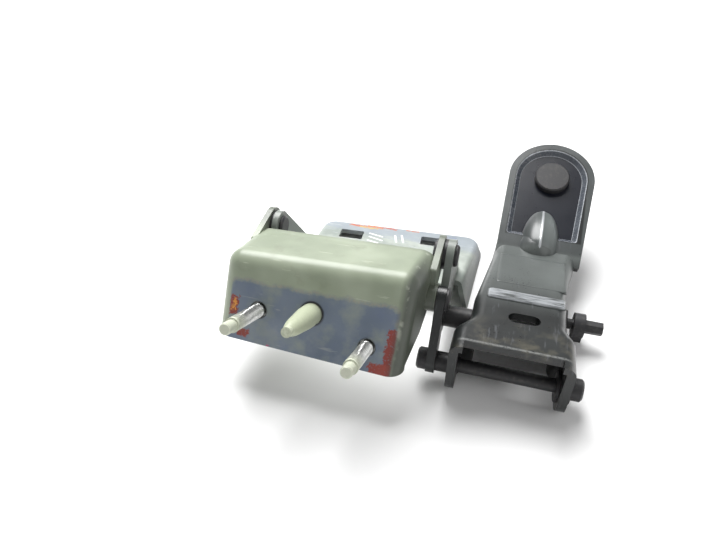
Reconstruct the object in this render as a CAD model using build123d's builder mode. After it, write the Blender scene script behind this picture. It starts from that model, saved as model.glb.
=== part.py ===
from build123d import *
from math import cos, radians, sin, tan
import os

os.makedirs("parts", exist_ok=True)

# The frame: +X along the pivot pins, +Y away from the studs, +Z up from the table.
# All lengths are millimetres and all angles are degrees.

# Pivots in the YZ plane. The two links have the same offset, so the linkage is a parallelogram.
ear_pivot = Vector(-19, 56.5)
link_pivot = Vector(-46.5, 46)
link_offset = Vector(-17, -32.5)
pin_pivot = link_pivot + link_offset
arm_pivot = ear_pivot + link_offset

# Clearances
running_fit = 0.06
seat_fit = 0.02
face_gap = 0.1

# Body bracket: a box pressed from one sheet, open below and behind
bracket_sheet = 3.5
bracket_left_x = -107
bracket_right_x = 1
bracket_face_y = -80
left_wall_draft = 0.066
right_wall_draft = 0.1
box_ends = {"left": -111, "right": 11}
face_low = {"left": -18.5, "right": -22.6}
face_high = {"left": 29, "right": 34}
top_run = (37, -9.2)
bottom_run = (60, -13.2)
box_rear = -32.5
bracket_bend_radius = 9
wall_lower_edge = [(-87, 0), (-86, 29), (-59, 29), (-46.5, 35), (-33, 43), (-20, 44), (-20, 0)]
ear_radius = 11
left_ear_x = -103
right_ear_x = 3.8
ear_root_points = [(-44, 63), (-44, 46)]
link_boss_radius = 8
link_boss_x = 9.2

# Studs and locating pin in the tilted face
face_tilt = 29
face_origin = Vector(-83.1, -84.8, 47.4)
stud_spots = {"left": (0, 0), "right": (62.8, -8.2)}
pin_spot = (30.4, 4)
stud_radius = 4
stud_thread_length = 33
stud_length = 41
dog_point_radius = 3.15
stud_head_radius = 7.5
stud_head_height = 3
stud_hole_radius = 4.6
stud_neck_radius = 3.7
neck_rise = 0.5
locating_radius = 6
locating_neck_radius = 5.7
locating_tip_radius = 2.7
locating_length = 38

# Ear pivot rivets
rivet_radius = 4
rivet_head_radius = 7.5
rivet_head_height = 2.2
washer_radius = 9

# Lid bracket: a shallow tray with two arms
lid_sheet = 3.5
lid_slope = 8
lid_web_point = (4.2, 17.7)
lid_base_outline = [(-98, -2), (25, -2), (27, 72), (-95.5, 62)]
lid_draft = 22
lid_corner_radius = 13
lid_edge_radius = 4
left_arm_x = -98
right_arm_x = 9.5
right_arm_sheet = 4.5
arm_eye_radius = 9.5
window_length = 17
window_width = 12
window_turn = 5
window_centres = [(-68, 42), (-9.2, 50.7)]
bush_wall = 1

# Control link: a flat bar between the link pivot and the pin pivot
link_x = 9.5
link_thickness = 5
link_eye_radius = 7.5
link_pin_radius = 4

# Lever arm: a deep channel that runs into a raised lug
arm_sheet = 5
arm_left_edge = [(36, 52), (35, 28), (29.5, -24), (29.5, -46), (22, -57), (22, -78)]
arm_right_edge = [(88, -78), (88, -51), (83.2, -43), (83.2, -2), (87.5, 28), (91.5, 52)]
arm_web_point = (-71, 42.1)
arm_slope = 8.03
arm_bend_y = 41
arm_edge_radius = 7
arm_eye_outer_radius = 13.5
leg_heel = (24, 0)
leg_rear = (50, 17)
web_notch_depth = 6.5
slot_length = 18
slot_width = 9
slot_centre = (59, -41.7)
lug_angle = 25
lug_middle = 65.6
lug_half_width = 29.6
lug_sheet = 4.5
lug_round_centre = 59.5
lug_rim = 5
lug_recess = 3.5
lug_recess_start = 11
lug_rivet_centre = (66, 60.6)
lug_rivet_radius = 12
lug_rivet_head = 4.5
lug_shank_radius = 7
lug_washer_height = 1.5
gusset_start = Vector(63.5, 33, 15)
gusset_end = Vector(63.3, 74, 37)
gusset_profile = [(0, 0), (3, 7.5), (11, 13), (22, 12), (34, 7), (42.5, 2.5), (44.5, 0)]
gusset_hollow = [(5, 0), (8, 6), (13, 8.5), (22, 7.5), (31, 3.5), (35, 0)]

# Long pivot pin through both legs
pin_radius = 4
pin_head_radius = 6.4
pin_left_x = 3.8
pin_right_x = 96
pin_washer_radius = 9
pin_washer_height = 1.5
spacer_radius = 5.8
leg_left_x = 22
leg_right_x = 88

# Stepped stud on the right leg
stepped_centre = Vector(-12, 14)
stepped_leg_x = 83.2
stepped_end_x = 107.3
stepped_shank_radius = 4
stepped_flange_radius = 8.2
stepped_flange_height = 2.3
stepped_neck_radius = 3.2
stepped_hex_radius = 4.2
clip_x = 90
clip_length = 6.5
clip_radius = 7.5

face_out = Vector(0, -cos(radians(face_tilt)), sin(radians(face_tilt)))
face_plane = Plane(origin=face_origin, x_dir=(1, 0, 0), z_dir=face_out)
lid_plane = Plane(
    origin=(0, lid_web_point[0], lid_web_point[1]),
    x_dir=(1, 0, 0),
    z_dir=(0, sin(radians(lid_slope)), cos(radians(lid_slope))),
)
web_plane = Plane(
    origin=(0, arm_web_point[0], arm_web_point[1]),
    x_dir=(1, 0, 0),
    z_dir=(0, sin(radians(arm_slope)), cos(radians(arm_slope))),
)
bend_z = arm_web_point[1] - (arm_bend_y - arm_web_point[0]) * tan(radians(arm_slope))
lug_plane = Plane(
    origin=(0, arm_bend_y, bend_z),
    x_dir=(1, 0, 0),
    z_dir=(0, -sin(radians(lug_angle)), cos(radians(lug_angle))),
)
gusset_run = gusset_end - gusset_start
gusset_axis = Axis(gusset_start, gusset_run)
gusset_plane = Plane(origin=gusset_start, x_dir=gusset_run, z_dir=(0, -gusset_run.Z, gusset_run.Y))
lug_axis = Axis(lug_plane.origin, lug_plane.z_dir)


def side_plane(x):
    """Plane across the pivots at a given X, with Y and Z as its own axes."""
    return Plane.YZ.offset(x)


def spot(pivot):
    """The YZ place of a pivot as a pair."""
    return (pivot.X, pivot.Y)


def turning_axis(pivot):
    """Axis of a pivot, parallel to X."""
    return Axis((0, pivot.X, pivot.Y), (1, 0, 0))


def turning_plane(pivot):
    """Plane through a pivot's axis, whose own axes are X and the radius."""
    return Plane(origin=(0, pivot.X, pivot.Y), x_dir=(1, 0, 0), z_dir=(0, -1, 0))


def face_point(rise):
    """YZ place at a height up the tilted face, measured from the left stud."""
    return (face_origin.Y + rise * sin(radians(face_tilt)), face_origin.Z + rise * cos(radians(face_tilt)))


def rising_plane(rise, run):
    """Plane across the box through one height of the face at each end, holding a YZ direction."""
    start = Vector(box_ends["left"], *face_point(rise["left"]))
    across = Vector(box_ends["right"], *face_point(rise["right"])) - start
    return Plane(origin=start, x_dir=across, z_dir=across.cross(Vector(0, *run)))


def wall_x(side, y):
    """Outer X of a side wall at a given Y."""
    if side == "left":
        return bracket_left_x + (y - bracket_face_y) * left_wall_draft
    return bracket_right_x + (y - bracket_face_y) * right_wall_draft


# Body bracket
top_plane = rising_plane(face_high, top_run)
bottom_plane = rising_plane(face_low, bottom_run)
box_plan = [
    (wall_x("left", -115), -115),
    (wall_x("right", -115), -115),
    (wall_x("right", 10), 10),
    (wall_x("left", 10), 10),
]
with BuildPart() as bracket_hollow:
    with BuildSketch(Plane.XY):
        Polygon(*box_plan, align=None)
        offset(amount=-bracket_sheet, kind=Kind.INTERSECTION)
    extrude(amount=120)
    split(bisect_by=face_plane.offset(-bracket_sheet), keep=Keep.BOTTOM)
    split(bisect_by=top_plane.offset(-bracket_sheet), keep=Keep.BOTTOM)
    bends = [e for e in bracket_hollow.edges() if e.center().Z > 20 and e.center().Y < -15]
    fillet(bends, radius=bracket_bend_radius - bracket_sheet)
with BuildPart() as body_bracket:
    with BuildSketch(Plane.XY):
        Polygon(*box_plan, align=None)
    extrude(amount=120)
    split(bisect_by=face_plane, keep=Keep.BOTTOM)
    split(bisect_by=top_plane, keep=Keep.BOTTOM)
    split(bisect_by=bottom_plane, keep=Keep.TOP)
    split(bisect_by=Plane.XZ.offset(-box_rear), keep=Keep.TOP)
    bends = [e for e in body_bracket.edges() if e.center().Z > 38 and e.center().Y < -40]
    fillet(bends, radius=bracket_bend_radius)
    add(bracket_hollow.part, mode=Mode.SUBTRACT)
    with BuildSketch(side_plane(bracket_left_x - 10)):
        Polygon(*wall_lower_edge, align=None)
    extrude(amount=140, mode=Mode.SUBTRACT)
    for ear_x in (left_ear_x, right_ear_x):
        with BuildSketch(side_plane(ear_x)) as ear:
            with Locations(spot(ear_pivot)):
                Circle(ear_radius)
            with Locations(*ear_root_points):
                Circle(2)
            make_hull()
        extrude(amount=bracket_sheet)
    with BuildSketch(side_plane(1.5)):
        with Locations(spot(link_pivot)):
            Circle(link_boss_radius)
    extrude(amount=link_boss_x - 1.5)
    with BuildSketch(side_plane(bracket_left_x)):
        with Locations(spot(ear_pivot)):
            Circle(rivet_radius + seat_fit)
    extrude(amount=130, mode=Mode.SUBTRACT)
    with BuildSketch(side_plane(-10)):
        with Locations(spot(link_pivot)):
            Circle(link_pin_radius + seat_fit)
    extrude(amount=30, mode=Mode.SUBTRACT)
    with BuildSketch(face_plane.offset(-8)):
        with Locations(*stud_spots.values()):
            Circle(stud_hole_radius)
        with Locations(pin_spot):
            Circle(locating_radius + 0.25)
    extrude(amount=16, mode=Mode.SUBTRACT)
body_bracket.part.label = "body_bracket"
export_step(body_bracket.part, "parts/body_bracket.step")

# Studs: a flat head behind the face, a threaded shank and a dog point
for side, place in stud_spots.items():
    with BuildPart() as stud:
        with BuildSketch(face_plane.offset(-bracket_sheet - stud_head_height)):
            with Locations(place):
                Circle(stud_head_radius)
        extrude(amount=stud_head_height)
        with BuildSketch(face_plane.offset(-bracket_sheet)):
            with Locations(place):
                Circle(stud_neck_radius)
        extrude(amount=bracket_sheet + neck_rise)
        with BuildSketch(face_plane.offset(neck_rise)):
            with Locations(place):
                Circle(stud_radius)
        extrude(amount=stud_thread_length - neck_rise)
        with BuildSketch(face_plane.offset(stud_thread_length)):
            with Locations(place):
                Circle(dog_point_radius)
        extrude(amount=stud_length - stud_thread_length)
        chamfer(stud.faces().sort_by(Axis(face_origin, face_out))[-1].edges(), length=0.6)
    stud.part.label = f"stud_{side}"
    export_step(stud.part, f"parts/stud_{side}.step")

# Locating pin: a bulged cone with a flange behind the face
with BuildPart() as locating_pin:
    pin_base = face_plane.from_local_coords(Vector(pin_spot[0], pin_spot[1], 0))
    pin_side = Plane(origin=pin_base, x_dir=(1, 0, 0), z_dir=face_plane.y_dir * -1)
    with BuildSketch(pin_side):
        with BuildLine():
            Polyline(
                (0, -bracket_sheet - stud_head_height),
                (9, -bracket_sheet - stud_head_height),
                (9, -bracket_sheet),
                (locating_neck_radius, -bracket_sheet),
                (locating_neck_radius, neck_rise),
                (locating_radius, neck_rise),
                (locating_radius, 8),
            )
            Spline(
                (locating_radius, 8),
                (locating_radius * 0.86, 20),
                (locating_tip_radius, locating_length - 3),
                tangents=[(0, 1), (-0.45, 1)],
            )
            Polyline(
                (locating_tip_radius, locating_length - 3),
                (locating_tip_radius, locating_length),
                (0, locating_length),
                (0, -bracket_sheet - stud_head_height),
            )
        make_face()
    revolve(axis=Axis(pin_base, face_out))
locating_pin.part.label = "locating_pin"
export_step(locating_pin.part, "parts/locating_pin.step")

# Ear rivets, each with a washer and a bush
ear_stack = {
    "left": (left_ear_x, left_ear_x + bracket_sheet, left_arm_x, left_arm_x + lid_sheet),
    "right": (right_ear_x, right_ear_x + bracket_sheet, right_arm_x, right_arm_x + right_arm_sheet),
}
for side, (ear_outer, ear_inner, arm_near, arm_far) in ear_stack.items():
    with BuildPart() as ear_rivet:
        with BuildSketch(turning_plane(ear_pivot)):
            with BuildLine():
                Polyline(
                    (ear_outer - rivet_head_height, 0),
                    (ear_outer - rivet_head_height, rivet_head_radius - 1),
                    (ear_outer - rivet_head_height + 1, rivet_head_radius),
                    (ear_outer, rivet_head_radius),
                    (ear_outer, rivet_radius),
                    (arm_far + face_gap, rivet_radius),
                    (arm_far + face_gap, rivet_head_radius - 1),
                    (arm_far + face_gap + rivet_head_height - 1, rivet_head_radius - 1),
                    (arm_far + face_gap + rivet_head_height, rivet_head_radius - 2),
                    (arm_far + face_gap + rivet_head_height, 0),
                    close=True,
                )
            make_face()
        revolve(axis=turning_axis(ear_pivot))
    ear_rivet.part.label = f"ear_rivet_{side}"
    export_step(ear_rivet.part, f"parts/ear_rivet_{side}.step")

    with BuildPart() as ear_washer:
        with BuildSketch(side_plane(ear_inner)):
            with Locations(spot(ear_pivot)):
                Circle(washer_radius)
                Circle(rivet_radius + seat_fit, mode=Mode.SUBTRACT)
        extrude(amount=arm_near - ear_inner - face_gap)
    ear_washer.part.label = f"ear_washer_{side}"
    export_step(ear_washer.part, f"parts/ear_washer_{side}.step")

    with BuildPart() as ear_bush:
        with BuildSketch(side_plane(arm_near)):
            with Locations(spot(ear_pivot)):
                Circle(rivet_radius + running_fit + bush_wall)
                Circle(rivet_radius + running_fit, mode=Mode.SUBTRACT)
        extrude(amount=arm_far - arm_near)
    ear_bush.part.label = f"ear_bush_{side}"
    export_step(ear_bush.part, f"parts/ear_bush_{side}.step")

# Lid bracket
bush_hole_radius = rivet_radius + running_fit + bush_wall + seat_fit
with BuildPart() as lid_hollow:
    with BuildSketch(Plane.XY) as hollow_base:
        Polygon(*[(x, y if y > 0 else y - 40) for x, y in lid_base_outline], align=None)
        fillet([v for v in hollow_base.vertices() if v.Y > 50], radius=lid_corner_radius)
        offset(amount=-lid_sheet / cos(radians(lid_draft)))
    extrude(amount=30, taper=lid_draft)
    split(bisect_by=lid_plane.offset(-lid_sheet), keep=Keep.BOTTOM)
with BuildPart() as lid_bracket:
    with BuildSketch(Plane.XY) as lid_base:
        Polygon(*lid_base_outline, align=None)
        fillet([v for v in lid_base.vertices() if v.Y > 50], radius=lid_corner_radius)
    extrude(amount=30, taper=lid_draft)
    split(bisect_by=lid_plane, keep=Keep.BOTTOM)
    lid_top = lid_bracket.faces().sort_by(Axis.Z)[-1]
    fillet([e for e in lid_top.edges() if e.center().Y > 8], radius=lid_edge_radius)
    add(lid_hollow.part, mode=Mode.SUBTRACT)
    with BuildSketch(lid_plane):
        with Locations((left_arm_x, -6)):
            Rectangle(right_arm_x + right_arm_sheet - left_arm_x, 34, align=(Align.MIN, Align.MIN))
    extrude(amount=-lid_sheet)
    with BuildSketch(side_plane(left_arm_x)):
        with Locations(spot(ear_pivot)):
            Circle(arm_eye_radius)
        with Locations((6, 14), (24, 11)):
            Circle(4)
        make_hull()
    extrude(amount=lid_sheet)
    with BuildSketch(side_plane(right_arm_x)):
        with Locations(spot(ear_pivot), spot(arm_pivot)):
            Circle(arm_eye_radius)
        with Locations((20, 12)):
            Circle(4)
        make_hull()
    extrude(amount=right_arm_sheet)
    with BuildSketch(side_plane(left_arm_x - 2)):
        with Locations(spot(ear_pivot)):
            Circle(bush_hole_radius)
    extrude(amount=right_arm_x + right_arm_sheet + 4 - left_arm_x, mode=Mode.SUBTRACT)
    with BuildSketch(side_plane(right_arm_x - 2)):
        with Locations(spot(arm_pivot)):
            Circle(link_pin_radius + seat_fit)
    extrude(amount=right_arm_sheet + 4, mode=Mode.SUBTRACT)
    with BuildSketch(Plane.XY) as windows:
        with Locations(*window_centres):
            Rectangle(window_length, window_width, rotation=window_turn)
        fillet(windows.vertices(), radius=1.2)
    extrude(amount=40, mode=Mode.SUBTRACT)
lid_bracket.part.label = "lid_bracket"
export_step(lid_bracket.part, "parts/lid_bracket.step")

# Control link: a flat bar with a bush in each eye
with BuildPart() as control_link:
    with BuildSketch(side_plane(link_x)):
        with Locations(spot(link_pivot), spot(pin_pivot)):
            Circle(link_eye_radius)
        make_hull()
        with Locations(spot(link_pivot), spot(pin_pivot)):
            Circle(bush_hole_radius, mode=Mode.SUBTRACT)
    extrude(amount=link_thickness)
control_link.part.label = "control_link"
export_step(control_link.part, "parts/control_link.step")

for name, pivot in {"link_bush_upper": link_pivot, "link_bush_lower": pin_pivot}.items():
    with BuildPart() as link_bush:
        with BuildSketch(side_plane(link_x)):
            with Locations(spot(pivot)):
                Circle(rivet_radius + running_fit + bush_wall)
                Circle(rivet_radius + running_fit, mode=Mode.SUBTRACT)
        extrude(amount=link_thickness)
    link_bush.part.label = name
    export_step(link_bush.part, f"parts/{name}.step")

# Link rivet: holds the link on the bracket's pressed boss
link_far_x = link_x + link_thickness
with BuildPart() as link_rivet:
    with BuildSketch(turning_plane(link_pivot)):
        with BuildLine():
            Polyline(
                (-3, 0),
                (-3, rivet_head_radius - 2),
                (-1.8, rivet_head_radius - 1),
                (-1.2, rivet_head_radius - 1),
                (-1.2, link_pin_radius),
                (link_far_x + face_gap, link_pin_radius),
                (link_far_x + face_gap, rivet_head_radius - 1),
                (link_far_x + 1.2, rivet_head_radius - 1),
                (link_far_x + rivet_head_height, rivet_head_radius - 2.2),
                (link_far_x + rivet_head_height, 0),
                close=True,
            )
        make_face()
    revolve(axis=turning_axis(link_pivot))
link_rivet.part.label = "link_rivet"
export_step(link_rivet.part, "parts/link_rivet.step")

# Lever arm
channel_height = 70
with BuildPart() as arm_hollow:
    with BuildSketch(Plane.XY) as hollow_plan:
        left_ends = [(arm_left_edge[0][0], 90), *arm_left_edge[1:-1], (arm_left_edge[-1][0], -100)]
        right_ends = [(arm_right_edge[0][0], -100), *arm_right_edge[1:-1], (arm_right_edge[-1][0], 90)]
        Polygon(*left_ends, *right_ends, align=None)
        fillet([v for v in hollow_plan.vertices() if -60 < v.Y < 40], radius=9)
        offset(amount=-arm_sheet)
    extrude(amount=channel_height)
    split(bisect_by=web_plane.offset(-arm_sheet), keep=Keep.BOTTOM)
with BuildPart() as lever_arm:
    with BuildSketch(Plane.XY) as arm_plan:
        Polygon(*arm_left_edge, *arm_right_edge, align=None)
        fillet([v for v in arm_plan.vertices() if -60 < v.Y < 40], radius=9)
    extrude(amount=channel_height)
    split(bisect_by=web_plane, keep=Keep.BOTTOM)
    web_top = lever_arm.faces().sort_by(Axis.Z)[-1]
    web_ends = web_top.edges().sort_by(Axis.Y)
    fillet(web_ends[1:-1], radius=arm_edge_radius)
    add(arm_hollow.part, mode=Mode.SUBTRACT)
    with BuildSketch(side_plane(-20)):
        with Locations(spot(pin_pivot)):
            Circle(arm_eye_outer_radius)
        with Locations((leg_heel[0], leg_heel[1] + 1), leg_rear, (leg_rear[0], 60), (-76, 60)):
            Circle(1)
        make_hull()
    extrude(amount=160, mode=Mode.INTERSECT)
    # front edge of the web, set back between the legs
    with BuildSketch(Plane.XY.offset(30)):
        with Locations((55, -78)):
            Rectangle(52, 2 * web_notch_depth)
    extrude(amount=30, mode=Mode.SUBTRACT)
    # shallow dish behind the cross bead
    with BuildSketch(web_plane) as dish:
        with Locations((61, 83)):
            Rectangle(40, 34)
        fillet(dish.vertices(), radius=7)
    extrude(amount=-1.2, taper=40, mode=Mode.SUBTRACT)
    # lug with its rim
    with BuildSketch(lug_plane):
        with Locations((lug_middle, lug_round_centre)):
            Circle(lug_half_width)
        with Locations((37.2, -8), (90.5, -8)):
            Circle(1)
        make_hull()
    extrude(amount=-lug_sheet)
    # the lug's floor stands lower than its rim, in one sheet
    with BuildSketch(lug_plane.offset(-lug_sheet)):
        with Locations((lug_middle, lug_round_centre)):
            Circle(lug_half_width - lug_rim + 1.5)
        with Locations((lug_middle - 22.5, lug_recess_start + 1), (lug_middle + 20.5, lug_recess_start + 1)):
            Circle(3)
        make_hull()
    extrude(amount=-lug_recess)
    with BuildSketch(lug_plane):
        with Locations((lug_middle, lug_round_centre)):
            Circle(lug_half_width - lug_rim)
        with Locations((lug_middle - 22.5, lug_recess_start + 1), (lug_middle + 20.5, lug_recess_start + 1)):
            Circle(2)
        make_hull()
    extrude(amount=-lug_recess, mode=Mode.SUBTRACT)
    # gusset: a drop-shaped bulge across the bend, hollow below
    with BuildSketch(gusset_plane):
        with BuildLine():
            Spline(*gusset_profile)
            Line(gusset_profile[-1], gusset_profile[0])
        make_face()
    revolve(axis=gusset_axis)
    with BuildSketch(gusset_plane):
        with BuildLine():
            Spline(*gusset_hollow)
            Line(gusset_hollow[-1], gusset_hollow[0])
        make_face()
    revolve(axis=gusset_axis, mode=Mode.SUBTRACT)
    # cross bead
    with BuildSketch(web_plane) as bead:
        with Locations((59, 50.5)):
            Rectangle(46, 11)
        fillet(bead.vertices(), radius=2.5)
    extrude(amount=1.4, taper=50)
    # slot through the web
    with BuildSketch(Plane.XY):
        with Locations(slot_centre):
            SlotOverall(slot_length, slot_width)
    extrude(amount=60, mode=Mode.SUBTRACT)
    # pivot holes in the legs
    with BuildSketch(side_plane(leg_left_x - 2)):
        with Locations(spot(pin_pivot)):
            Circle(pin_radius + seat_fit)
    extrude(amount=leg_right_x - leg_left_x + 4, mode=Mode.SUBTRACT)
    with BuildSketch(side_plane(leg_left_x)):
        with Locations(spot(arm_pivot)):
            Circle(bush_hole_radius)
    extrude(amount=20, mode=Mode.SUBTRACT)
    with BuildSketch(side_plane(stepped_leg_x - 10)):
        with Locations(spot(stepped_centre)):
            Circle(stepped_shank_radius + seat_fit)
    extrude(amount=20, mode=Mode.SUBTRACT)
    with BuildSketch(lug_plane):
        with Locations(lug_rivet_centre):
            Circle(lug_shank_radius + seat_fit)
    extrude(amount=-20, mode=Mode.SUBTRACT)
lever_arm.part.label = "lever_arm"
export_step(lever_arm.part, "parts/lever_arm.step")

# Bush and rivet that join the lid bracket to the arm's left leg
leg_near_x = 29.5
leg_far_x = leg_near_x + arm_sheet
with BuildPart() as arm_bush:
    with BuildSketch(side_plane(leg_near_x)):
        with Locations(spot(arm_pivot)):
            Circle(rivet_radius + running_fit + bush_wall)
            Circle(rivet_radius + running_fit, mode=Mode.SUBTRACT)
    extrude(amount=arm_sheet)
arm_bush.part.label = "arm_bush"
export_step(arm_bush.part, "parts/arm_bush.step")

arm_plate_far_x = right_arm_x + right_arm_sheet
with BuildPart() as arm_rivet:
    with BuildSketch(turning_plane(arm_pivot)):
        with BuildLine():
            Polyline(
                (right_arm_x - 2, 0),
                (right_arm_x - 2, 5),
                (right_arm_x - 1.2, 6),
                (right_arm_x, 6),
                (right_arm_x, rivet_radius),
                (arm_plate_far_x, rivet_radius),
                (leg_far_x + face_gap, rivet_radius),
                (leg_far_x + face_gap, 6.5),
                (leg_far_x + 1.4, 6.5),
                (leg_far_x + rivet_head_height, 5),
                (leg_far_x + rivet_head_height, 0),
                close=True,
            )
        make_face()
    revolve(axis=turning_axis(arm_pivot))
arm_rivet.part.label = "arm_rivet"
export_step(arm_rivet.part, "parts/arm_rivet.step")

with BuildPart() as arm_spacer:
    with BuildSketch(side_plane(arm_plate_far_x)):
        with Locations(spot(arm_pivot)):
            Circle(6.5)
            Circle(rivet_radius + seat_fit, mode=Mode.SUBTRACT)
    extrude(amount=leg_near_x - arm_plate_far_x - face_gap)
arm_spacer.part.label = "arm_spacer"
export_step(arm_spacer.part, "parts/arm_spacer.step")

# Long pivot pin, headed at both ends
pin_washers = {"pin_washer_inner": leg_right_x - arm_sheet - pin_washer_height, "pin_washer_outer": leg_right_x}
pin_neck_x = leg_right_x + pin_washer_height
with BuildPart() as pivot_pin:
    with BuildSketch(turning_plane(pin_pivot)):
        with BuildLine():
            Polyline(
                (pin_left_x, 0),
                (pin_left_x, pin_head_radius - 1),
                (pin_left_x + 1, pin_head_radius),
                (link_x - face_gap, pin_head_radius),
                (link_x - face_gap, pin_radius),
                (pin_neck_x, pin_radius),
                (pin_neck_x, pin_head_radius),
                (pin_right_x - 1, pin_head_radius),
                (pin_right_x, pin_head_radius - 1),
                (pin_right_x, 0),
                close=True,
            )
        make_face()
    revolve(axis=turning_axis(pin_pivot))
pivot_pin.part.label = "pivot_pin"
export_step(pivot_pin.part, "parts/pivot_pin.step")

for name, washer_x in pin_washers.items():
    with BuildPart() as pin_washer:
        with BuildSketch(side_plane(washer_x)):
            with Locations(spot(pin_pivot)):
                Circle(pin_washer_radius)
                Circle(pin_radius + seat_fit, mode=Mode.SUBTRACT)
        extrude(amount=pin_washer_height)
    pin_washer.part.label = name
    export_step(pin_washer.part, f"parts/{name}.step")

with BuildPart() as link_spacer:
    with BuildSketch(side_plane(link_far_x + face_gap)):
        with Locations(spot(pin_pivot)):
            Circle(spacer_radius)
            Circle(pin_radius + seat_fit, mode=Mode.SUBTRACT)
    extrude(amount=leg_left_x - link_far_x - face_gap)
link_spacer.part.label = "link_spacer"
export_step(link_spacer.part, "parts/link_spacer.step")

# Stepped stud, riveted into the right leg
with BuildPart() as stepped_stud:
    with BuildSketch(turning_plane(stepped_centre)):
        with BuildLine():
            Polyline(
                (stepped_leg_x - arm_sheet - 2, 0),
                (stepped_leg_x - arm_sheet - 2, 5),
                (stepped_leg_x - arm_sheet, 6),
                (stepped_leg_x - arm_sheet, stepped_shank_radius),
                (stepped_leg_x, stepped_shank_radius),
                (stepped_leg_x, stepped_flange_radius),
                (stepped_leg_x + stepped_flange_height, stepped_flange_radius),
                (stepped_leg_x + stepped_flange_height, stepped_neck_radius),
                (clip_x + clip_length, stepped_neck_radius),
                (clip_x + clip_length, 0),
                close=True,
            )
        make_face()
    revolve(axis=turning_axis(stepped_centre))
    with BuildSketch(side_plane(clip_x + clip_length)):
        with Locations(spot(stepped_centre)):
            RegularPolygon(radius=stepped_hex_radius, side_count=6)
    extrude(amount=stepped_end_x - clip_x - clip_length)
stepped_stud.part.label = "stepped_stud"
export_step(stepped_stud.part, "parts/stepped_stud.step")

# Push-on clip: a ring with a square foot
with BuildPart() as stud_clip:
    with BuildSketch(side_plane(clip_x)) as clip_face:
        with Locations(spot(stepped_centre)):
            Circle(clip_radius)
        with Locations((stepped_centre.X, stepped_centre.Y - clip_radius + 1)):
            Rectangle(9, 7)
        with Locations(spot(stepped_centre)):
            Circle(stepped_neck_radius + seat_fit, mode=Mode.SUBTRACT)
    extrude(amount=clip_length)
stud_clip.part.label = "stud_clip"
export_step(stud_clip.part, "parts/stud_clip.step")

# Lug rivet with its backing washer
lug_floor = -lug_recess
lug_under = -lug_sheet - lug_recess
with BuildPart() as lug_rivet:
    with BuildSketch(lug_plane.offset(lug_floor)):
        with Locations(lug_rivet_centre):
            Circle(lug_rivet_radius)
    extrude(amount=lug_rivet_head)
    chamfer(lug_rivet.edges().sort_by(lug_axis)[-1], length=0.9)
    with BuildSketch(lug_plane.offset(lug_floor)):
        with Locations(lug_rivet_centre):
            Circle(lug_shank_radius)
    extrude(amount=lug_under - lug_floor - lug_washer_height)
    with BuildSketch(lug_plane.offset(lug_under - lug_washer_height)):
        with Locations(lug_rivet_centre):
            Circle(lug_shank_radius + 2.5)
    extrude(amount=-3, taper=20)
lug_rivet.part.label = "lug_rivet"
export_step(lug_rivet.part, "parts/lug_rivet.step")

with BuildPart() as lug_washer:
    with BuildSketch(lug_plane.offset(lug_under)):
        with Locations(lug_rivet_centre):
            Circle(lug_rivet_radius)
            Circle(lug_shank_radius + seat_fit, mode=Mode.SUBTRACT)
    extrude(amount=-lug_washer_height)
lug_washer.part.label = "lug_washer"
export_step(lug_washer.part, "parts/lug_washer.step")
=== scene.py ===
# %% [markdown]
# The frame comes first. The imported hinge is loaded as it stands, and nothing in this lesson moves
# it or changes its solids. Its box is kept. The dressed hinge has to stay as large.

# %% Load the imported hinge
import math

import bmesh
import bpy
from mathutils import Euler, Matrix, Vector


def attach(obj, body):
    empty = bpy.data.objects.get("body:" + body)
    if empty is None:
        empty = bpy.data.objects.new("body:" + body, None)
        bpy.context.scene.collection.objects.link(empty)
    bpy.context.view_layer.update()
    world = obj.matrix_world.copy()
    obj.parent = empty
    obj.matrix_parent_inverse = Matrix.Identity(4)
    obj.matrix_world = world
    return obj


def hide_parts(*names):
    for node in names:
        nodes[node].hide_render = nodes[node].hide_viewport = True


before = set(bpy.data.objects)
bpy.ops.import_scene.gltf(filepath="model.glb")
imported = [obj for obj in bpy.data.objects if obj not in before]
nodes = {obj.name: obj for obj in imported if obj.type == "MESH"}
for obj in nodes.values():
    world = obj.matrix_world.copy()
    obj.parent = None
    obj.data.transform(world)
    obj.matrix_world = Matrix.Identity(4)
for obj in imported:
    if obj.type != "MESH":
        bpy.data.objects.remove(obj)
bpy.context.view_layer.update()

MM = 0.001

# %% [markdown]
# The camera stands where the photographer stood: in front of the studs and a little to the right,
# looking down by forty degrees. The focal length is given in pixels of the picture, because that
# is what the fit to the photograph gives, and turned into millimetres of lens here.

# %% Camera
IMAGE_WIDTH = 722
FOCAL_PIXELS = 600.0
SENSOR_MM = 36.0
CAMERA_PLACE = Vector((0.037, -0.299, 0.276))
CAMERA_PITCH = math.radians(40.0)
CAMERA_YAW = math.radians(16.0)

camera_data = bpy.data.cameras.new("camera")
camera_data.sensor_width = SENSOR_MM
camera_data.lens = SENSOR_MM * FOCAL_PIXELS / IMAGE_WIDTH
camera_data.clip_start = 0.01
camera = bpy.data.objects.new("camera", camera_data)
camera.location = CAMERA_PLACE
camera.rotation_euler = Euler((math.radians(90.0) - CAMERA_PITCH, 0.0, CAMERA_YAW))
bpy.context.scene.collection.objects.link(camera)
bpy.context.scene.camera = camera
print("lens", round(camera_data.lens, 2), "mm")

# %% [markdown]
# Every finish below is a sum of masks: where the primer is bare, where paint was left, where an
# edge is scuffed. Masks are easiest to read as arithmetic, so a small class wraps one output of a
# shader node and lets it be added, multiplied and compared. Each operator adds one Math node.

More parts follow.
